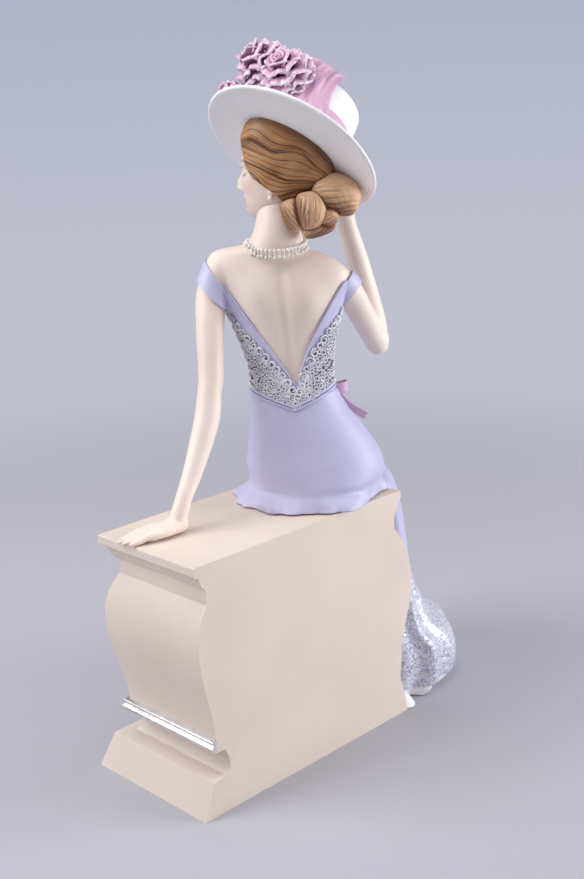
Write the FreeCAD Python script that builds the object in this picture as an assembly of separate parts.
import FreeCAD
import Part
import math
import os

from FreeCAD import Matrix, Placement, Rotation, Vector

# A cast-resin jewellery box: a lady in a hat seated on a bombe chest with two drawers
# and a wind-up musical movement under its floor. Millimetres.
# Frame: origin on the floor under the middle of the top slab, +Z up, drawers open towards -Y,
# the flat back faces +Y, and the dress falls over the -X end.

# Chest, outside
slab_length = 130.0
slab_depth = 65.2
chest_height = 116.7
slab_edge_height = 4.7
slab_moulding_height = 7.0
slab_edge_round = 0.8
slab_fillet_height = 1.3
neck_height = 6.5
foot_height = 30.0
bead_height = 6.4
bead_projection = 3.0
upper_reed_share = 0.4
upper_reed_setback = 0.6
bead_groove_depth = 1.5

# Chest, how far each level lies inside the slab's edge; negative lies outside
end_neck_inset = 5.8
end_belly_inset = -0.3
end_belly_height = 78.0
end_foot_inset = 6.4
train_end_neck_inset = 5.0
train_end_belly_inset = -6.7
train_end_belly_height = 63.0
train_end_foot_inset = 1.0
front_neck_inset = 6.7
front_belly_inset = 1.2
front_belly_height = 70.0
front_foot_inset = 5.6
belly_turn = 0.55
belly_shoulder_drop = 0.25
slab_ogee = [(0.4, 0.2), (0.55, 0.6), (0.8, 1.0)]
slab_fillet_inset = 0.9

# Plinth
plinth_arris_height = 16.6
plinth_cove_height = 21.5
cove_turn = 0.3
cove_lip = 0.25
cove_lip_height = 0.5
end_spread = 2.5
end_arris_inset = 3.6
end_cove_inset = 13.6
end_plinth_top_inset = 11.2
train_end_spread = 2.6
train_end_arris_inset = 1.2
train_end_cove_inset = 2.4
front_spread = 9.4
front_arris_inset = -4.2
front_cove_inset = 4.2
front_plinth_top_inset = 3.6

# Floor panel and its screws
panel_thickness = 10.0
panel_rim = 9.0
panel_gap = 0.3
cover_screw_inset = 5.0
cover_screw_length = 14.0

# Drawer bays
back_wall = 5.0
end_wall = 15.0
bay_floor_thickness = 4.0
bay_top_margin = 4.0
shelf_thickness = 3.0
shelf_setback = 4.0
drawer_gap = 0.5
drawer_side_gap = 1.5
runner_gap = 0.2
drawer_front_depth = 12.6
tray_wall = 1.6
tray_headroom = 3.0
lining_thickness = 0.8
knob_spacing = 50.0
knob_radius = 3.2
knob_rose_radius = 3.4
knob_rose_height = 1.4
knob_stem_radius = 1.5
knob_projection = 7.5
knob_thread_depth = 4.0
screw_radius = 1.0
screw_head_radius = 2.0
screw_head_height = 1.4
screw_hole_gap = 0.15

# Musical movement
movement_x = -25.0
movement_y = 2.0
key_well_radius = 14.5
bedplate_margin = 14.0
bedplate_length = 62.0
bedplate_half_width = 18.0
bedplate_thickness = 2.5
barrel_radius = 11.6
barrel_height = 8.0
barrel_lift = 0.3
crown_teeth = 30
crown_radius_mean = 10.0
crown_face = 2.6
tooth_addendum = 0.65
tooth_dedendum = 0.85
tooth_root_width = 0.95
tooth_tip_width = 0.45
tooth_root_sink = 0.2
pinion_teeth = 12
drum_radius = 6.4
drum_length = 18.0
drum_gap = 0.5
axle_radius = 1.0
bearing_gap = 0.05
pillar_thickness = 1.5
pillar_half_width = 3.5
pin_size = 0.5
pin_height = 0.5
pin_rows = 18
pin_turn = 137.5
comb_clearance = 0.15
comb_thickness = 0.9
comb_tooth_length = 6.0
comb_heel = 6.0
comb_slot_share = 0.3
governor_length = 9.0
governor_half_width = 8.0
governor_rise = 5.5
key_stem_radius = 1.6
key_half_width = 10.0
key_bow_height = 6.5
key_thickness = 2.2
key_clear_of_floor = 1.0
key_hole_radius = 1.6

# Figure: place of the seat from the slab's edges, and the turn of the body
seat_from_train_end = 32.0
seat_from_back = 29.6
body_turn = 135.5
shoulder_tilt = 6.0
shoulder_tilt_peak = 0.7
cloth_thickness = 1.1
lace_thickness = 0.7
waist_height = 52.0

# Torso and neck: height over the slab, shift to her right, shift forwards, half width, half depth
torso_rings = [
    (waist_height, -5.6, 0.0, 18.6, 13.2),
    (62.0, -6.2, 0.5, 18.2, 13.0),
    (72.0, -7.2, 0.8, 20.0, 14.2),
    (82.0, -8.2, 1.0, 23.0, 15.2),
    (92.0, -9.0, 0.8, 26.4, 15.4),
    (101.0, -9.8, 0.4, 29.8, 13.8),
    (108.5, -10.4, 0.0, 32.0, 11.2),
    (114.5, -11.4, 0.0, 27.0, 9.2),
    (118.0, -10.6, 0.2, 14.5, 9.4),
    (122.0, -10.0, 0.6, 11.6, 9.8),
    (127.0, -9.6, 1.2, 10.4, 9.8),
    (134.0, -9.2, 2.0, 10.2, 10.0),
]
bust_right = 10.5
bust_height = 88.0
bust_forward = 9.5
bust_radius = 9.5
hip_rings = [
    (0.2, 2.0, 0.0, 36.6, 30.6),
    (6.0, 2.8, 0.8, 34.8, 28.4),
    (12.0, 3.2, 1.2, 33.6, 26.6),
    (22.0, 2.6, 1.0, 31.0, 24.0),
    (33.0, 0.0, 0.4, 26.8, 20.0),
    (43.0, -3.2, 0.0, 22.6, 16.6),
    (waist_height, -5.4, 0.0, 19.9, 14.5),
]
hem_folds = 9
hem_fold_depth = 0.025

# Bodice edges seen from behind: right, height
back_neckline = (-4.1, 59.0)
front_neckline = (-9.0, 90.0)
left_shoulder_tip = (-44.4, 116.5)
right_shoulder_tip = (25.2, 108.5)
left_sleeve_hem = ((-52.0, 100.0), (-30.0, 86.0))
right_sleeve_hem = ((36.0, 96.0), (12.0, 87.0))
lace_border = 5.5
basque_point = (-5.4, 47.5)
basque_left = (-27.0, 54.5)
basque_right = (15.5, 55.5)
lace_top_left = (-35.0, 91.0)
lace_top_right = (19.0, 92.0)

# Lap, hips to knees: forward reach, shift to her right, half width, top over the slab
lap_rings = [
    (8.0, 3.0, 30.0, 26.0),
    (26.0, 3.0, 27.5, 25.0),
    (44.0, 3.0, 25.0, 24.0),
    (60.0, 3.0, 23.0, 22.5),
    (73.0, 3.0, 20.0, 18.0),
    (80.0, 3.0, 14.0, 10.0),
]
lap_bottom = -6.0

# Train over the end of the chest: height, reach past the slab, shift from the slab's middle,
# long half axis, short half axis
train_slant = 28.0
train_folds = 11
train_fold_depth = 0.03
train_rings = [
    (chest_height, 17.0, -18.0, 46.0, 17.0),
    (102.0, 19.5, -17.5, 45.5, 20.0),
    (82.0, 21.0, -16.0, 44.5, 21.0),
    (62.0, 23.0, -14.0, 44.0, 22.0),
]
flounce_rings = [
    train_rings[-1],
    (45.0, 27.0, -13.0, 44.0, 28.0),
    (28.0, 32.0, -11.0, 44.5, 35.0),
    (15.0, 33.0, -11.0, 45.0, 38.0),
    (7.0, 33.0, -11.0, 44.5, 37.0),
]
petticoat_rings = [
    (7.0, 32.5, -11.5, 42.5, 35.0),
    (0.0, 31.0, -12.0, 41.5, 33.0),
]

# Arm that leans on the slab: share of the way from shoulder to wrist,
# sway to the right, forwards and up, radius
leaning_shoulder = (-37.0, -1.0, 108.5)
leaning_wrist_from_edge = 25.0
leaning_wrist_y = -5.2
leaning_wrist_height = 10.0
leaning_arm = [
    (0.0, 0.0, 0.0, 0.0, 6.6),
    (0.1, -1.6, 1.5, -0.5, 6.9),
    (0.25, 0.4, 2.0, 0.0, 6.5),
    (0.45, 4.2, 3.8, 0.0, 6.1),
    (0.65, 5.6, 4.6, 0.0, 5.8),
    (0.85, 3.2, 2.6, 0.0, 4.8),
]
hand_turn = -12.0
wrist_half_width = 4.2
palm_sections = [(6.4, 5.6, 2.8), (10.2, 5.9, 2.6), (12.5, 5.0, 2.3)]
hand_gap = 0.1
knuckle_lift = 1.0
finger_lengths = (13.0, 14.6, 15.2, 13.4)
finger_spread = 4.4
finger_radius = 1.5
fingertip_radius = 1.1
finger_fan = 5.0
thumb_length = 12.0
thumb_radius = 1.7
thumb_fan = 37.0

# Arm that holds the hat: right, forward, height over the slab, radius
raised_upper_arm = [
    (13.0, 1.0, 104.0, 6.4),
    (20.0, 5.0, 98.0, 6.7),
    (28.0, 15.0, 84.0, 6.1),
    (35.0, 25.0, 69.0, 5.2),
]
elbow_radius = 5.8
raised_forearm = [
    (35.0, 25.0, 69.0, 5.2),
    (33.0, 27.5, 84.0, 5.8),
    (28.0, 29.0, 105.0, 4.9),
    (23.8, 29.5, 124.0, 3.7),
    (23.6, 28.5, 132.0, 4.2),
    (25.0, 27.0, 141.0, 4.6),
    (24.4, 26.2, 145.0, 3.6),
]
raised_finger_way = (-1.8, -1.5, 7.0)
raised_finger_pitch = 2.7

# Head in its own frame: height from its middle, forward, half width, half length
head_right = -7.5
head_forward = 4.0
head_height = 147.0
gaze_turn = 72.0
head_rings = [
    (-16.0, 12.4, 3.0, 3.2),
    (-14.0, 10.2, 6.4, 7.2),
    (-10.0, 6.4, 9.8, 12.2),
    (-4.0, 2.4, 12.4, 16.8),
    (3.0, 0.8, 13.6, 18.8),
    (10.0, 0.2, 14.0, 19.2),
    (17.0, -0.8, 12.8, 17.4),
    (23.0, -1.6, 8.6, 11.6),
]
nose_height = -2.4
nose_radii = (1.6, 3.4, 3.6)
nose_seat = 18.6
hair_thickness = 2.6
hair_bottom = -10.0
hairline_low = (-5.3, -10.0)
hairline_high = (17.7, 10.2)

# Chignon, each roll from the middle of the head: right, forward and up, half axes, turn
chignon_rolls = [
    ((17.0, -4.5, 1.5), (9.5, 9.0, 6.5), 20.0),
    ((23.3, -7.6, -6.9), (11.2, 9.0, 8.0), 14.0),
    ((12.2, -14.0, -11.5), (5.9, 6.5, 7.3), 0.0),
    ((4.2, -11.0, -13.3), (4.3, 5.6, 7.8), -10.0),
    ((16.0, -12.0, -19.2), (8.2, 6.2, 4.6), -18.0),
]

# Hat about its own axis
hat_right = -1.9
hat_forward = 0.0
hat_height = 161.8
hat_lean_right = 29.0
hat_lean_forward = 30.0
brim_radius = 42.0
brim_droop = 2.6
brim_thickness = 1.8
hat_seat_radius = 25.0
crown_radius = 23.0
crown_top_radius = 20.6
crown_height = 29.0
crown_round = 5.0
ribbon_thickness = 0.8
ribbon_height = 8.0
sash_height = 28.5
sash_start = -112.0
sash_sweep = 54.0

# Roses on the crown: direction, radius, height over the brim, depth;
# tiers of petals: foot, girth, top, mouth and turn, as shares of depth and radius
roses = [(-121.0, 13.0, 18.5, 14.0), (-151.0, 14.5, 21.0, 18.0), (-165.0, 10.0, 9.0, 18.0)]
rose_tiers = [(0.0, 0.9, 0.45, 1.0, 0), (0.35, 0.78, 0.8, 0.72, 36), (0.65, 0.5, 1.0, 0.42, 12)]
rose_foot_share = 0.85
rose_lobes = 5
rose_lobe_depth = 0.09

# Jewellery and bow
pearl_radius = 1.15
choker_height = 118.6
choker_right = -10.3
choker_forward = 0.4
choker_radius = 12.6
choker_tilt = 10.0
choker_taper = 0.4
earring_radius = 1.4
earring_place = (13.0, 2.4, -6.5)
bow_place = (18.0, 13.5, 49.5)
bow_loop = (8.0, 3.6, 4.6)
bow_tail = (2.2, 1.2, 8.5)

slab_half = slab_length / 2
back_y = slab_depth / 2
front_y = -slab_depth / 2
slab_bottom = chest_height - slab_edge_height - slab_moulding_height
bead_top = foot_height + bead_height
bay_floor = bead_top + bay_floor_thickness
bay_top = slab_bottom - bay_top_margin
bay_height = (bay_top - bay_floor - shelf_thickness) / 2
bay_half = slab_half - end_wall
bay_back = back_y - back_wall
drawer_floors = {"lower": bay_floor, "upper": bay_floor + bay_height + shelf_thickness}
face_back = front_y + drawer_front_depth
tray_half = bay_half - drawer_side_gap
tray_back = bay_back - drawer_gap
chamber_front = face_back
bedplate_top = panel_thickness + bedplate_thickness
barrel_foot = bedplate_top + barrel_lift
barrel_top = barrel_foot + barrel_height
tooth_pitch = 2 * math.pi * crown_radius_mean / crown_teeth
pinion_radius = pinion_teeth * tooth_pitch / (2 * math.pi)
axle_height = barrel_top + tooth_dedendum + pinion_radius
pinion_x = movement_x + crown_radius_mean
near_pillar_x = movement_x + barrel_radius + drum_gap
drum_x = near_pillar_x + pillar_thickness + drum_gap
far_pillar_x = drum_x + drum_length + drum_gap
governor_x = far_pillar_x + pillar_thickness + drum_gap
seat = Vector(-slab_half + seat_from_train_end, back_y - seat_from_back, chest_height)
body_frame = Placement(seat, Rotation(Vector(0, 0, 1), body_turn))
far = 300.0


def block(low, high):
    """A block between two corners."""
    size = [b - a for a, b in zip(low, high)]
    return Part.makeBox(*size, Vector(*low))


def rod(radius, length, base, axis=(0, 0, 1)):
    return Part.makeCylinder(radius, length, Vector(*base), Vector(*axis))


def solid(shape):
    """The main solid of a result."""
    return max(shape.Solids, key=lambda piece: piece.Volume)


def run_edges(runs):
    """Edges through runs of points: two points make a line, more make a smooth curve."""
    edges = []
    end = None
    for run in runs:
        points = [Vector(*p) for p in run]
        if end is not None and end.distanceToPoint(points[0]) > 1e-6:
            edges.append(Part.LineSegment(end, points[0]).toShape())
        if len(points) == 2:
            edges.append(Part.LineSegment(*points).toShape())
        else:
            curve = Part.BSplineCurve()
            curve.interpolate(points)
            edges.append(curve.toShape())
        end = points[-1]
    start = edges[0].Vertexes[0].Point
    edges.append(Part.LineSegment(end, start).toShape())
    return edges


def prism(runs, direction):
    """A closed outline pushed along a direction."""
    return Part.Face(Part.Wire(run_edges(runs))).extrude(Vector(*direction))


def cased(end_runs, train_end_runs, front_runs):
    """A chest level whose two ends and front follow profiles of inset and height; its back is flat."""
    right = [[(slab_half - i, -far, z) for i, z in run] for run in end_runs]
    left = [[(i - slab_half, -far, z) for i, z in reversed(run)] for run in reversed(train_end_runs)]
    front = [[(-far, front_y + i, z) for i, z in run] for run in front_runs]
    top, bottom = front[0][0][2], front[-1][-1][2]
    back = [[(-far, back_y, bottom), (-far, back_y, top)]]
    seen_from_front = prism(right + left, (0, far + back_y, 0))
    seen_from_end = prism(front + back, (2 * far, 0, 0))
    return solid(seen_from_front.common(seen_from_end))


def oval(centre, across, along, folds=0, fold_depth=0.0, points=16):
    """A smooth closed oval from two half-axis vectors, with soft folds if asked."""
    made = []
    for i in range(points):
        angle = 2 * math.pi * i / points
        swell = 1 + fold_depth * math.cos(folds * angle)
        made.append(centre + (across * math.cos(angle) + along * math.sin(angle)) * swell)
    curve = Part.BSplineCurve()
    curve.interpolate(made, True)
    return Part.Wire([curve.toShape()])


def loft(wires):
    return Part.makeLoft(wires, True, False, False, 3)


def limb(path, side):
    """A round limb through points with radii, its sections square to the path."""
    points = [Vector(*p[:3]) for p in path]
    wires = []
    for i, point in enumerate(points):
        along = points[min(i + 1, len(points) - 1)] - points[max(i - 1, 0)]
        along.normalize()
        across = side - along * side.dot(along)
        across.normalize()
        rise = along.cross(across)
        wires.append(oval(point, across * path[i][3], rise * path[i][3], points=10))
    return loft(wires)


def ellipsoid(centre, radii, turn=0.0):
    """A ball stretched along its axes, turned about the depth axis and moved."""
    stretch = Matrix()
    stretch.scale(*radii)
    ball = Part.makeSphere(1.0).transformGeometry(stretch)
    ball.Placement = Placement(Vector(*centre), Rotation(Vector(0, 1, 0), turn))
    return ball


def on_body(shape):
    """Moves a shape from the figure's frame to the chest's frame."""
    placed = shape.copy()
    placed.Placement = body_frame.multiply(shape.Placement)
    return placed


def from_chest(point):
    """A point of the chest's frame in the figure's frame."""
    return body_frame.inverse().multVec(Vector(*point))


# Chest pieces


def belly_runs(neck, belly, belly_z, foot, foot_z, bottom):
    """Neck, swelling side and plain band of one side of the chest."""
    neck_foot = slab_bottom - neck_height
    shoulder = (neck + (belly - neck) * belly_turn, neck_foot - (neck_foot - belly_z) * belly_shoulder_drop)
    tuck = (belly + (foot - belly) * belly_turn, belly_z + (foot_z - belly_z) * belly_turn)
    return [
        [(neck, slab_bottom), (neck, neck_foot)],
        [(neck, neck_foot), shoulder, (belly, belly_z), tuck, (foot, foot_z)],
        [(foot, foot_z), (foot, bottom)],
    ]


def carcase_block():
    ends = belly_runs(end_neck_inset, end_belly_inset, end_belly_height, end_foot_inset,
                      bead_top, foot_height)
    train = belly_runs(train_end_neck_inset, train_end_belly_inset, train_end_belly_height,
                       train_end_foot_inset, bead_top, foot_height)
    front = belly_runs(front_neck_inset, front_belly_inset, front_belly_height, front_foot_inset,
                       bead_top, foot_height)
    return cased(ends, train, front)


def chamber(low_z, high_z):
    """The hollow that holds the musical movement."""
    return block((-bay_half, chamber_front, low_z), (bay_half - end_wall / 2, bay_back, high_z))


def carcase():
    """Bombe shell with its drawer bays open in front."""
    bays = block((-bay_half, -far, bay_floor), (bay_half, bay_back, bay_top))
    return solid(carcase_block().cut(bays).cut(chamber(foot_height, bead_top)))


def shelf():
    """Divider between the two bays, set back behind the drawer fronts' bellies."""
    low = bay_floor + bay_height
    front = front_y + front_belly_inset + shelf_setback
    return block((-bay_half, front, low), (bay_half, bay_back, low + shelf_thickness))


def slab_runs(neck):
    """Rounded edge, ogee and fillet under the slab."""
    r = slab_edge_round
    lip = chest_height - slab_edge_height
    ogee_end = slab_bottom + slab_fillet_height
    drop = lip - ogee_end
    corner = r * (1 - math.sqrt(0.5))
    return [
        [(r, chest_height), (corner, chest_height - corner), (0, chest_height - r)],
        [(0, chest_height - r), (0, lip + r)],
        [(0, lip + r), (corner, lip + corner), (r, lip)],
        [(2 * r, lip)] + [(across * neck, lip - down * drop) for across, down in slab_ogee],
        [(slab_fillet_inset * neck, ogee_end), (slab_fillet_inset * neck, slab_bottom)],
    ]


def top_slab():
    return cased(slab_runs(end_neck_inset), slab_runs(train_end_neck_inset), slab_runs(front_neck_inset))


def bead_runs(inset):
    """Two half-round reeds, the upper one the smaller, on the band above the plinth."""
    groove = foot_height + bead_height * (1 - upper_reed_share)
    upper = (bead_top + groove) / 2
    lower = (groove + foot_height) / 2
    proud = inset - bead_projection
    return [
        [(inset, bead_top), (proud + upper_reed_setback, upper), (proud + bead_groove_depth, groove)],
        [(proud + bead_groove_depth, groove), (proud, lower), (inset, foot_height)],
    ]


def beads():
    """Silver bead along the end and along the front, meeting at the front corner."""
    plain_train = [[(train_end_foot_inset, bead_top), (train_end_foot_inset, foot_height)]]
    reeded = cased(bead_runs(end_foot_inset), plain_train, bead_runs(front_foot_inset))
    strip = reeded.cut(carcase_block())
    corner = slab_half - end_foot_inset
    end = strip.common(block((corner, -far, 0), (far, back_y, far)))
    front = strip.common(block((-far, -far, 0), (corner, back_y, far)))
    return {"bead_end": solid(end), "bead_front": solid(front)}


def plinth_runs(top, cove, arris, spread):
    """Cove, arris and splayed foot of one side."""
    upper = (cove + (top - cove) * cove_turn, (foot_height + plinth_cove_height) / 2)
    lip = (cove + (arris - cove) * cove_lip, plinth_arris_height + cove_lip_height)
    return [
        [(top, foot_height), upper, (cove, plinth_cove_height), lip],
        [(arris, plinth_arris_height), (-spread, 0)],
    ]


def panel_block(gap):
    """Space of the floor panel in the plinth, less a gap."""
    half = slab_half + end_spread - panel_rim - gap
    front = front_y - front_spread + panel_rim + gap
    return block((-half, front, 0), (half, bay_back - gap, panel_thickness))


def cover_screw_places():
    half = slab_half + end_spread - panel_rim - cover_screw_inset
    front = front_y - front_spread + panel_rim + cover_screw_inset
    back = bay_back - cover_screw_inset
    return [(-half, front), (half, front), (-half, back), (half, back)]


def plinth():
    """Splayed foot, open below for the floor panel and above it for the movement."""
    train = plinth_runs(train_end_foot_inset, train_end_cove_inset, train_end_arris_inset, train_end_spread)
    body = cased(plinth_runs(end_plinth_top_inset, end_cove_inset, end_arris_inset, end_spread), train,
                 plinth_runs(front_plinth_top_inset, front_cove_inset, front_arris_inset, front_spread))
    body = body.cut(panel_block(0)).cut(chamber(0, foot_height))
    for x, y in cover_screw_places():
        body = body.cut(rod(screw_radius, cover_screw_length, (x, y, 0)))
    return solid(body)


def floor_panel():
    """Foot panel with the round well for the winding key and countersunk screw holes."""
    panel = panel_block(panel_gap)
    panel = panel.cut(rod(key_well_radius, panel_thickness, (movement_x, movement_y, 0)))
    for x, y in cover_screw_places():
        panel = panel.cut(rod(screw_radius + screw_hole_gap, panel_thickness, (x, y, 0)))
        sink = screw_head_height + screw_hole_gap
        panel = panel.cut(rod(screw_head_radius + screw_hole_gap, sink, (x, y, 0)))
    for x, y in bedplate_screw_places():
        panel = panel.cut(rod(screw_radius, panel_thickness / 2, (x, y, panel_thickness / 2)))
    return solid(panel)


def cover_screws():
    made = []
    for x, y in cover_screw_places():
        head = rod(screw_head_radius, screw_head_height, (x, y, screw_hole_gap))
        shank = rod(screw_radius, cover_screw_length - screw_hole_gap, (x, y, screw_hole_gap))
        made.append(head.fuse(shank).removeSplitter())
    return Part.makeCompound(made)


# Drawers


def drawer_face(floor):
    """Inset front that follows the bombe face, with its knob screw holes."""
    half = bay_half - drawer_gap
    room = block((-half, -far, floor + drawer_gap), (half, face_back, floor + bay_height - drawer_gap))
    face = carcase_block().common(room)
    for x in knob_places():
        hole = (x, face_back, floor + bay_height / 2)
        face = face.cut(rod(screw_radius + screw_hole_gap, far, hole, (0, -1, 0)))
        face = face.cut(rod(screw_head_radius + screw_hole_gap, screw_head_height, hole, (0, -1, 0)))
    return solid(face)


def knob_places():
    return (-knob_spacing / 2, knob_spacing / 2)


def knob_seat(floor):
    """Where the bombe face lies at the middle height of a drawer."""
    z = floor + bay_height / 2
    probe = Part.LineSegment(Vector(0, -far, z), Vector(0, back_y, z)).toShape()
    return carcase_block().common(probe).BoundBox.YMin


def knob_shank(x, floor):
    """Shank of a knob's screw, from the back of the drawer face to the end of its thread."""
    tip = knob_seat(floor) - knob_thread_depth
    return rod(screw_radius, face_back - tip, (x, face_back, floor + bay_height / 2), (0, -1, 0))


def knobs(floor):
    """Turned knobs: rose, stem and ball, their roses cut to the bombe face and bored for the screws."""
    z = floor + bay_height / 2
    seat_y = knob_seat(floor)
    tip = seat_y - knob_projection
    ball = tip + knob_radius
    made = []
    for x in knob_places():
        rose = rod(knob_rose_radius, 2 * knob_rose_height, (x, seat_y - knob_rose_height, z), (0, 1, 0))
        stem = rod(knob_stem_radius, seat_y - ball, (x, seat_y, z), (0, -1, 0))
        knob = rose.fuse(stem).fuse(Part.makeSphere(knob_radius, Vector(x, ball, z)))
        made.append(solid(knob.cut(carcase_block()).cut(knob_shank(x, floor))))
    return Part.makeCompound(made)


def knob_screws(floor):
    """Screws from inside the drawer, their heads let into the back of the face."""
    z = floor + bay_height / 2
    made = []
    for x in knob_places():
        head = rod(screw_head_radius, screw_head_height, (x, face_back, z), (0, -1, 0))
        made.append(head.fuse(knob_shank(x, floor)).removeSplitter())
    return Part.makeCompound(made)


def tray(floor, wall, inset):
    """A drawer box or its lining: floor, back and two sides, closed in front by the drawer face."""
    half = tray_half - inset
    low = floor + runner_gap + inset
    back = tray_back - inset
    top = floor + bay_height - tray_headroom - inset
    outer = block((-half, face_back, low), (half, back, top))
    return outer.cut(block((-half + wall, face_back, low + wall), (half - wall, back - wall, top)))


# Musical movement


def tooth(low, high):
    """A straight tooth along X that stands on Z."""
    root, tip = tooth_root_width / 2, tooth_tip_width / 2
    corners = [(0, -root, low), (0, root, low), (0, tip, high), (0, -tip, high)]
    return prism([[a, b] for a, b in zip(corners, corners[1:])], (crown_face, 0, 0))


def barrel():
    """Spring barrel with a ring of crown teeth that drive the drum's pinion."""
    body = rod(barrel_radius, barrel_height, (0, 0, 0))
    inner = crown_radius_mean - crown_face / 2
    for i in range(crown_teeth):
        ridge = tooth(-tooth_root_sink, tooth_addendum + tooth_dedendum)
        ridge.translate(Vector(inner, 0, barrel_height))
        ridge.rotate(Vector(), Vector(0, 0, 1), (i + 0.5) * 360 / crown_teeth)
        body = body.fuse(ridge)
    body.translate(Vector(movement_x, movement_y, barrel_foot))
    return solid(body.removeSplitter())


def winding_key():
    """Butterfly key on the barrel's arbor, standing in the well of the floor panel."""
    bow_top = key_clear_of_floor + key_bow_height
    lobe = key_bow_height / 2
    half = key_half_width - lobe
    bow = block((-half, -key_thickness / 2, key_clear_of_floor), (half, key_thickness / 2, bow_top))
    for x in (-half, half):
        centre = (x, -key_thickness / 2, key_clear_of_floor + lobe)
        bow = bow.fuse(rod(lobe, key_thickness, centre, (0, 1, 0)))
    for x in (-half, half):
        centre = (x, -key_thickness / 2, key_clear_of_floor + lobe)
        bow = bow.cut(rod(key_hole_radius, key_thickness, centre, (0, 1, 0)))
    stem = rod(key_stem_radius, barrel_foot - bow_top + lobe, (0, 0, bow_top - lobe))
    key = bow.fuse(stem).removeSplitter()
    key.translate(Vector(movement_x, movement_y, 0))
    return solid(key)


def bedplate_screw_places():
    """Two screws beside the barrel and two beside the governor."""
    low = movement_x - bedplate_margin + 2 * screw_head_radius
    high = low + bedplate_length - 4 * screw_head_radius
    reach = bedplate_half_width - 1.5 * screw_head_radius
    return [(x, movement_y + side * reach) for x in (low, high) for side in (-1, 1)]


def comb_y():
    return movement_y + drum_radius + pin_height + comb_clearance


def bedplate():
    """Cast bedplate with two drum pillars and the ledge for the comb."""
    low_x = movement_x - bedplate_margin
    plate = block((low_x, movement_y - bedplate_half_width, panel_thickness),
                  (low_x + bedplate_length, movement_y + bedplate_half_width, bedplate_top))
    for x in (near_pillar_x, far_pillar_x):
        plate = plate.fuse(block((x, movement_y - pillar_half_width, panel_thickness),
                                 (x + pillar_thickness, movement_y + pillar_half_width,
                                  axle_height + pillar_half_width)))
    ledge_front = comb_y() + comb_tooth_length
    plate = plate.fuse(block((drum_x, ledge_front, panel_thickness),
                             (drum_x + drum_length, ledge_front + comb_heel, axle_height)))
    bearing = (near_pillar_x, movement_y, axle_height)
    plate = plate.cut(rod(axle_radius + bearing_gap, far, bearing, (1, 0, 0)))
    plate = plate.cut(rod(key_stem_radius + bearing_gap, far, (movement_x, movement_y, 0)))
    for x, y in bedplate_screw_places():
        plate = plate.cut(rod(screw_radius + screw_hole_gap, far, (x, y, 0)))
    for x in comb_screw_places():
        plate = plate.cut(rod(screw_radius, far, (x, ledge_front + comb_heel / 2, bedplate_top)))
    return solid(plate.removeSplitter())


def bedplate_screws():
    made = []
    for x, y in bedplate_screw_places():
        head = rod(screw_head_radius, screw_head_height, (x, y, bedplate_top))
        shank = rod(screw_radius, bedplate_top - panel_thickness / 2, (x, y, panel_thickness / 2))
        made.append(head.fuse(shank).removeSplitter())
    return Part.makeCompound(made)


def drum():
    """Pinned drum with its axle and the pinion outside the near pillar."""
    gear_x = pinion_x - crown_face / 2
    axle_end = governor_x + governor_length / 3
    body = rod(axle_radius, axle_end - gear_x, (gear_x, 0, 0), (1, 0, 0))
    body = body.fuse(rod(drum_radius, drum_length, (drum_x, 0, 0), (1, 0, 0)))
    body = body.fuse(rod(pinion_radius - tooth_dedendum, crown_face, (gear_x, 0, 0), (1, 0, 0)))
    for i in range(pinion_teeth):
        leaf = tooth(pinion_radius - tooth_dedendum - tooth_root_sink, pinion_radius + tooth_addendum)
        leaf.translate(Vector(gear_x, 0, 0))
        leaf.rotate(Vector(), Vector(1, 0, 0), 180 + i * 360 / pinion_teeth)
        body = body.fuse(leaf)
    spacing = drum_length / pin_rows
    for i in range(pin_rows):
        pin = block((-pin_size / 2, -pin_size / 2, drum_radius - pin_height),
                    (pin_size / 2, pin_size / 2, drum_radius + pin_height))
        pin.translate(Vector(drum_x + spacing * (i + 0.5), 0, 0))
        pin.rotate(Vector(), Vector(1, 0, 0), pin_turn * i)
        body = body.fuse(pin)
    body.translate(Vector(0, movement_y, axle_height))
    return solid(body.removeSplitter())


def comb_screw_places():
    return (drum_x + drum_length / 4, drum_x + 3 * drum_length / 4)


def comb():
    """Steel comb, one tooth for each row of pins."""
    heel = comb_y() + comb_tooth_length
    top = axle_height + comb_thickness
    plate = block((drum_x, comb_y(), axle_height), (drum_x + drum_length, heel + comb_heel, top))
    spacing = drum_length / pin_rows
    slot = spacing * comb_slot_share
    for i in range(1, pin_rows):
        x = drum_x + spacing * i
        plate = plate.cut(block((x - slot / 2, comb_y(), axle_height), (x + slot / 2, heel, top)))
    for x in comb_screw_places():
        plate = plate.cut(rod(screw_radius + screw_hole_gap, far, (x, heel + comb_heel / 2, 0)))
    return solid(plate)


def comb_screws():
    top = axle_height + comb_thickness
    y = comb_y() + comb_tooth_length + comb_heel / 2
    made = []
    for x in comb_screw_places():
        head = rod(screw_head_radius, screw_head_height, (x, y, top))
        shank = rod(screw_radius, top - bedplate_top, (x, y, bedplate_top))
        made.append(head.fuse(shank).removeSplitter())
    return Part.makeCompound(made)


def governor():
    """Closed governor housing on the bedplate; the drum's axle runs into it."""
    low, high = movement_y - governor_half_width, movement_y + governor_half_width
    housing = block((governor_x, low, bedplate_top),
                    (governor_x + governor_length, high, axle_height + governor_rise))
    edges = [e for e in housing.Edges if e.BoundBox.ZLength > barrel_height]
    housing = housing.makeFillet(governor_length / 4, edges)
    mouth = (governor_x, movement_y, axle_height)
    return solid(housing.cut(rod(axle_radius + bearing_gap, governor_length / 2, mouth, (1, 0, 0))))


# Figure, in its own frame until it is placed


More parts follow.
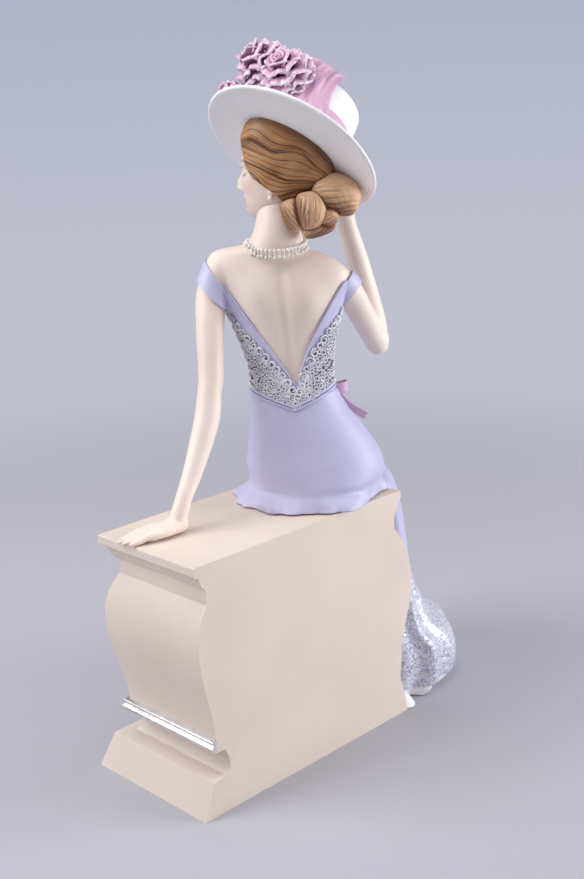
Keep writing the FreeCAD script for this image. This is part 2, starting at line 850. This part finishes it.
def level_loft(rings, grow=0.0, tilt=0.0, folds=0, fold_depth=0.0):
    """A loft through ovals given by height, right, forward, half width and half depth."""
    low, high = rings[0][0], rings[-1][0]
    wires = []
    for height, right, forward, width, depth in rings:
        share = (height - low) / (high - low)
        angle = math.radians(tilt * math.sin(math.pi * shoulder_tilt_peak * share))
        across = Vector(math.cos(angle), 0, -math.sin(angle)) * (width + grow)
        depth_axis = Vector(0, depth + grow, 0)
        fold = fold_depth * (1 - share) ** 3
        wires.append(oval(Vector(right, forward, height), across, depth_axis, folds, fold))
    return loft(wires)


def torso_form(grow=0.0):
    """Torso and neck with the bust."""
    form = level_loft(torso_rings, grow, shoulder_tilt)
    middle = torso_rings[3][1]
    for side in (-1, 1):
        centre = (middle + side * bust_right, bust_forward, bust_height)
        form = form.fuse(ellipsoid(centre, [bust_radius + grow] * 3))
    return solid(form)


def view_prism(points, low, high):
    """An outline seen from behind, pushed through the figure from one depth to another."""
    corners = [(u, low, z) for u, z in points]
    runs = [[a, b] for a, b in zip(corners, corners[1:])]
    return prism(runs, (0, high - low, 0))


def neckline(point, low, high):
    """The open part above a V between the shoulder tips."""
    top = 2 * choker_height
    corners = [(right_shoulder_tip[0], top), (left_shoulder_tip[0], top)]
    return view_prism([left_shoulder_tip, point, right_shoulder_tip] + corners, low, high)


def sleeve(path, side, hem):
    """A short cap sleeve over the start of an arm."""
    grown = [(*p[:3], p[3] + cloth_thickness) for p in path]
    top = 2 * choker_height
    above = view_prism([hem[0], hem[1], (hem[1][0], top), (hem[0][0], top)], -far, far)
    return limb(grown, side).common(above)


def leaning_wrist():
    """Point on the slab under the leaning wrist, in the figure's frame."""
    return from_chest((slab_half - leaning_wrist_from_edge, leaning_wrist_y, chest_height))


def leaning_path():
    """Points and radii of the leaning arm, from the shoulder to the wrist."""
    wrist = leaning_wrist() + Vector(0, 0, leaning_wrist_height)
    shoulder = Vector(*leaning_shoulder)
    path = []
    for share, right, forward, up, radius in leaning_arm:
        point = shoulder + (wrist - shoulder) * share + Vector(right, forward, up)
        path.append((point.x, point.y, point.z, radius))
    return path


def hand_direction():
    """Way the leaning hand points along the slab, in the figure's frame."""
    turned = Rotation(Vector(0, 0, 1), hand_turn - body_turn)
    return turned.multVec(Vector(1, 0, 0))


def leaning_side():
    return hand_direction().cross(Vector(0, 0, 1))


def leaning_arm_form():
    """Arm, palm and fingers resting on the slab."""
    path = leaning_path()
    along = hand_direction()
    side = leaning_side()
    wrist = leaning_wrist()
    points = [Vector(*p[:3]) for p in path]
    wires = []
    for i, point in enumerate(points):
        ahead = points[i + 1] if i + 1 < len(points) else wrist
        way = ahead - points[max(i - 1, 0)]
        way.normalize()
        wires.append(oval(point, side * path[i][3], way.cross(side) * path[i][3], points=10))
    bend = (along - Vector(0, 0, 1)).normalize()
    heel = wrist + Vector(0, 0, wrist_half_width + hand_gap)
    wires.append(oval(heel, side * wrist_half_width, bend.cross(side) * wrist_half_width, points=10))
    for reach, half_width, half_height in palm_sections:
        centre = wrist + along * reach + Vector(0, 0, half_height + hand_gap)
        wires.append(oval(centre, side * half_width, along.cross(side) * half_height, points=10))
    form = loft(wires)
    knuckles = wrist + along * palm_sections[-1][0] + Vector(0, 0, finger_radius + knuckle_lift)
    for i in range(4):
        spread = (i - 1.5) / 1.5
        root = knuckles + side * spread * finger_spread - along * finger_radius
        way = Rotation(Vector(0, 0, 1), -spread * finger_fan).multVec(along)
        tip = root + way * finger_lengths[i]
        tip.z = fingertip_radius + hand_gap
        middle = (root + tip) / 2
        middle.z = root.z
        finger = [(*root, finger_radius), (*middle, finger_radius), (*tip, fingertip_radius)]
        form = form.fuse(limb(finger, side))
    base, half_width, half_height = palm_sections[0]
    root = wrist + along * base - side * (half_width - thumb_radius) + Vector(0, 0, half_height)
    way = Rotation(Vector(0, 0, 1), thumb_fan).multVec(along)
    tip = root + way * thumb_length
    tip.z = fingertip_radius + hand_gap
    middle = (root + tip) / 2
    thumb = [(*root, thumb_radius), (*middle, thumb_radius), (*tip, fingertip_radius)]
    return solid(form.fuse(limb(thumb, side)))


def raised_side():
    """Normal of the plane in which the raised arm bends."""
    elbow = Vector(*raised_upper_arm[-1][:3])
    down = elbow - Vector(*raised_upper_arm[0][:3])
    up = Vector(*raised_forearm[-1][:3]) - elbow
    return down.cross(up).normalize()


def raised_arm_form():
    """Upper arm, elbow, forearm and a hand that curls over the brim."""
    side = raised_side()
    elbow = Part.makeSphere(elbow_radius, Vector(*raised_upper_arm[-1][:3]))
    form = limb(raised_upper_arm, side).fuse(elbow).fuse(limb(raised_forearm, side))
    palm = Vector(*raised_forearm[-1][:3])
    for i in range(4):
        middle = palm + side * (i - 1.5) * raised_finger_pitch
        root = middle - Vector(*raised_finger_way)
        tip = middle + Vector(*raised_finger_way)
        finger = [(*root, finger_radius), (*middle, finger_radius), (*tip, fingertip_radius)]
        form = form.fuse(limb(finger, side))
    return solid(form)


def lap_form():
    """Skirt over the thighs, from the hips to the knees."""
    wires = []
    for forward, right, width, top in lap_rings:
        middle = (top + lap_bottom) / 2
        wires.append(oval(Vector(right, forward, middle), Vector(width, 0, 0), Vector(0, 0, top - middle)))
    above_slab = block((-far, -far, 0), (far, far, far))
    return loft(wires).common(above_slab)


def hip_form(grow=0.0):
    return level_loft(hip_rings, grow, 0.0, hem_folds, hem_fold_depth)


def head_frame():
    place = Vector(head_right, head_forward, head_height)
    return Placement(place, Rotation(Vector(0, 0, 1), gaze_turn))


def on_head(shape):
    placed = shape.copy()
    placed.Placement = head_frame().multiply(shape.Placement)
    return placed


def head_form(grow=0.0, low=-far):
    """Skull and face: ovals along the gaze, in the head's frame with the face towards +Y."""
    rings = [ring for ring in head_rings if ring[0] >= low]
    wires = []
    for height, forward, width, length in rings:
        centre = Vector(0, forward, height)
        wires.append(oval(centre, Vector(width + grow, 0, 0), Vector(0, length + grow, 0)))
    return loft(wires)


def face_form():
    return solid(head_form().fuse(ellipsoid((0, nose_seat, nose_height), nose_radii)))


def hair_form():
    """Swept-back hair, behind a slanting hairline."""
    low_y, low_z = hairline_low
    high_y, high_z = hairline_high
    line = [(low_y, -far), (low_y, low_z), (high_y, high_z), (far, high_z), (far, -far)]
    outline = [(-far, y, z) for y, z in line]
    face_side = prism([[a, b] for a, b in zip(outline, outline[1:])], (2 * far, 0, 0))
    return head_form(hair_thickness, hair_bottom).cut(face_side)


def chignon_form():
    """Thick rolls of hair swept back and coiled at the nape."""
    middle = Vector(head_right, head_forward, head_height)
    form = None
    for place, radii, turn in chignon_rolls:
        roll = ellipsoid(middle + Vector(*place), radii, turn)
        form = roll if form is None else form.fuse(roll)
    return form


def hat_frame():
    right, forward = [math.tan(math.radians(lean)) for lean in (hat_lean_right, hat_lean_forward)]
    place = Vector(hat_right, hat_forward, hat_height)
    return Placement(place, Rotation(Vector(0, 0, 1), Vector(right, forward, 1)))


def on_hat(shape):
    placed = shape.copy()
    placed.Placement = hat_frame().multiply(shape.Placement)
    return placed


def crown_wall(height):
    """Radius of the crown at a height over the brim."""
    return crown_radius + (crown_top_radius - crown_radius) * height / crown_height


def hat_form():
    """Brim with a soft droop and a tapering crown, turned about the hat's axis."""
    r = crown_round
    shoulder = crown_height - r
    rim = brim_thickness / 2
    outline = [
        [(0, 0, 0), (hat_seat_radius, 0, 0)],
        [(hat_seat_radius, 0, 0), (0.5 * (hat_seat_radius + brim_radius), 0, -0.2 * brim_droop),
         (brim_radius - rim, 0, -brim_droop)],
        [(brim_radius - rim, 0, -brim_droop), (brim_radius, 0, rim - brim_droop),
         (brim_radius - rim, 0, brim_thickness - brim_droop)],
        [(brim_radius - rim, 0, brim_thickness - brim_droop),
         (0.5 * (hat_seat_radius + brim_radius), 0, brim_thickness - 0.2 * brim_droop),
         (crown_radius, 0, brim_thickness)],
        [(crown_radius, 0, brim_thickness), (crown_wall(shoulder), 0, shoulder)],
        [(crown_wall(shoulder), 0, shoulder), (crown_top_radius - 0.4 * r, 0, crown_height - 0.25 * r),
         (crown_top_radius - r, 0, crown_height)],
        [(crown_top_radius - r, 0, crown_height), (0, 0, crown_height)],
    ]
    face = Part.Face(Part.Wire(run_edges(outline)))
    return face.revolve(Vector(), Vector(0, 0, 1), 360)


def band(height, start, sweep):
    """A strip of ribbon against the crown."""
    low, high = brim_thickness, brim_thickness + height
    t = ribbon_thickness
    corners = [(crown_wall(low) - t, 0, low), (crown_wall(low) + t, 0, low),
               (crown_wall(high) + t, 0, high), (crown_wall(high) - t, 0, high)]
    face = Part.Face(Part.Wire(run_edges([[a, b] for a, b in zip(corners, corners[1:])])))
    strip = face.revolve(Vector(), Vector(0, 0, 1), sweep)
    strip.rotate(Vector(), Vector(0, 0, 1), start)
    return strip


def ribbon_form():
    """Narrow band round the crown and the wide sash beside the roses."""
    return band(ribbon_height, 0, 360).fuse(band(sash_height, sash_start, sash_sweep))


def rose_form(azimuth, radius, height, depth):
    """A blown rose: three tiers of lobed petals on the crown's side."""
    rose = None
    for low, wide, high, narrow, turn in rose_tiers:
        wires = []
        for level, share in ((low, wide * rose_foot_share), ((low + high) / 2, wide), (high, narrow)):
            r = radius * share
            wires.append(oval(Vector(0, 0, depth * level), Vector(r, 0, 0), Vector(0, r, 0),
                              rose_lobes, rose_lobe_depth, 4 * rose_lobes))
        tier = loft(wires)
        tier.rotate(Vector(), Vector(0, 0, 1), turn)
        rose = tier if rose is None else rose.fuse(tier)
    rose.rotate(Vector(), Vector(0, 1, 0), 90)
    rose.translate(Vector(crown_wall(height) - ribbon_thickness, 0, height))
    rose.rotate(Vector(), Vector(0, 0, 1), azimuth)
    return rose


def train_loft(rings):
    """A fall of cloth through slanting ovals past the end of the slab."""
    slant = math.radians(train_slant)
    along = Vector(-math.sin(slant), -math.cos(slant), 0)
    across = Vector(-math.cos(slant), math.sin(slant), 0)
    wires = []
    for height, reach, shift, long_half, short_half in rings:
        centre = Vector(-slab_half - reach, shift, height)
        wires.append(oval(centre, along * long_half, across * short_half,
                          train_folds, train_fold_depth, 4 * train_folds))
    return loft(wires)


def bow_form():
    """Two loops, a knot and two tails at the side of the waist."""
    right, forward, height = bow_place
    form = Part.makeSphere(bow_loop[1], Vector(*bow_place))
    for side in (-1, 1):
        centre = (right + side * bow_loop[0], forward, height + bow_loop[2] / 3)
        form = form.fuse(ellipsoid(centre, bow_loop, -side * 20))
        tail = (right + side * bow_loop[1], forward + bow_tail[1], height - bow_tail[2])
        form = form.fuse(ellipsoid(tail, bow_tail, side * 20))
    return form


def choker_form():
    """Two rows of pearls as two rings."""
    rows = []
    for row in (-1, 1):
        radius = choker_radius - row * choker_taper
        ring = Part.makeTorus(radius, pearl_radius, Vector(0, 0, row * pearl_radius))
        ring.Placement = Placement(Vector(choker_right, choker_forward, choker_height),
                                   Rotation(Vector(1, 0, 0), choker_tilt))
        rows.append(ring)
    return rows


def earring_form():
    right, forward, height = earring_place
    return [Part.makeSphere(earring_radius, Vector(side * right, forward, height)) for side in (-1, 1)]


def seated(shape, neighbours):
    """A piece cut back to the pieces that it sits on."""
    for neighbour in neighbours:
        shape = shape.cut(neighbour)
    return solid(shape)


def figure():
    """All pieces of the lady in the chest's frame."""
    hat = on_hat(hat_form())
    over_brim = on_hat(block((-far, -far, 0), (far, far, far)))
    ribbon = seated(on_hat(ribbon_form()), [hat])
    flowers = []
    for rose in roses:
        flowers.append(seated(on_hat(rose_form(*rose)), [hat, ribbon] + flowers))
    torso = torso_form()
    head = seated(on_head(face_form()), [torso, over_brim])
    hair = seated(on_head(hair_form()), [torso, head, over_brim])
    chignon = seated(chignon_form(), [torso, head, hair, hat])
    leaning = seated(leaning_arm_form(), [torso])
    raised = seated(raised_arm_form(), [torso, hat, head])
    skirt = solid(hip_form().fuse(lap_form()))
    dress = torso_form(cloth_thickness)
    dress = dress.fuse(sleeve(leaning_path()[:4], leaning_side(), left_sleeve_hem))
    dress = dress.fuse(sleeve(raised_upper_arm, raised_side(), right_sleeve_hem))
    open_back = neckline(back_neckline, -far, 0)
    open_front = neckline(front_neckline, 0, far)
    bodice = seated(dress, [torso, leaning, raised, open_back, open_front])
    lace_area = view_prism([basque_left, basque_point, basque_right, lace_top_right,
                            (back_neckline[0] + lace_border / 2, back_neckline[1] - lace_border),
                            lace_top_left], -far, 0)
    upper_lace = torso_form(cloth_thickness + lace_thickness).cut(torso_form(cloth_thickness))
    lower_lace = hip_form(lace_thickness).cut(hip_form())
    lace = seated(upper_lace.fuse(lower_lace).common(lace_area), [leaning, raised, bodice, skirt])
    bow = seated(bow_form(), [skirt, bodice, torso, lace])
    choker = [seated(row, [torso]) for row in choker_form()]
    earrings = [seated(on_head(pearl), [head, hair, torso]) for pearl in earring_form()]
    pieces = {
        "hat": hat, "hat_ribbon": ribbon, "hat_roses": Part.makeCompound(flowers),
        "torso": torso, "head": head, "hair": hair, "chignon": chignon,
        "leaning_arm": leaning, "raised_arm": raised, "skirt": skirt, "bodice": bodice,
        "back_lace": lace, "waist_bow": bow, "choker": Part.makeCompound(choker),
        "earrings": Part.makeCompound(earrings),
    }
    return {name: on_body(shape) for name, shape in pieces.items()}


def train(chest):
    """Fall of the skirt over the end of the chest, its lace flounce and the petticoat rim."""
    falls = {"train": train_rings, "lace_flounce": flounce_rings, "petticoat": petticoat_rings}
    return {name: seated(train_loft(rings), chest) for name, rings in falls.items()}


def chest():
    pieces = {"chest_carcase": carcase(), "top_slab": top_slab(), "plinth": plinth(),
              "floor_panel": floor_panel(), "cover_screws": cover_screws(), "drawer_shelf": shelf()}
    pieces.update(beads())
    for name, floor in drawer_floors.items():
        pieces[f"{name}_drawer_face"] = drawer_face(floor)
        pieces[f"{name}_drawer_tray"] = tray(floor, tray_wall, 0)
        pieces[f"{name}_drawer_lining"] = tray(floor, lining_thickness, tray_wall)
        pieces[f"{name}_knobs"] = knobs(floor)
        pieces[f"{name}_knob_screws"] = knob_screws(floor)
    return pieces


def movement():
    return {"bedplate": bedplate(), "bedplate_screws": bedplate_screws(), "spring_barrel": barrel(),
            "winding_key": winding_key(), "music_drum": drum(), "comb": comb(),
            "comb_screws": comb_screws(), "governor": governor()}


def build():
    pieces = chest()
    pieces.update(movement())
    pieces.update(figure())
    pieces.update(train([carcase_block(), pieces["top_slab"], pieces["plinth"]]))
    os.makedirs("parts", exist_ok=True)
    for name, shape in pieces.items():
        shape.exportStep(f"parts/{name}.step")
        print(name, round(shape.Volume, 1), shape.isValid(), len(shape.Solids))


build()
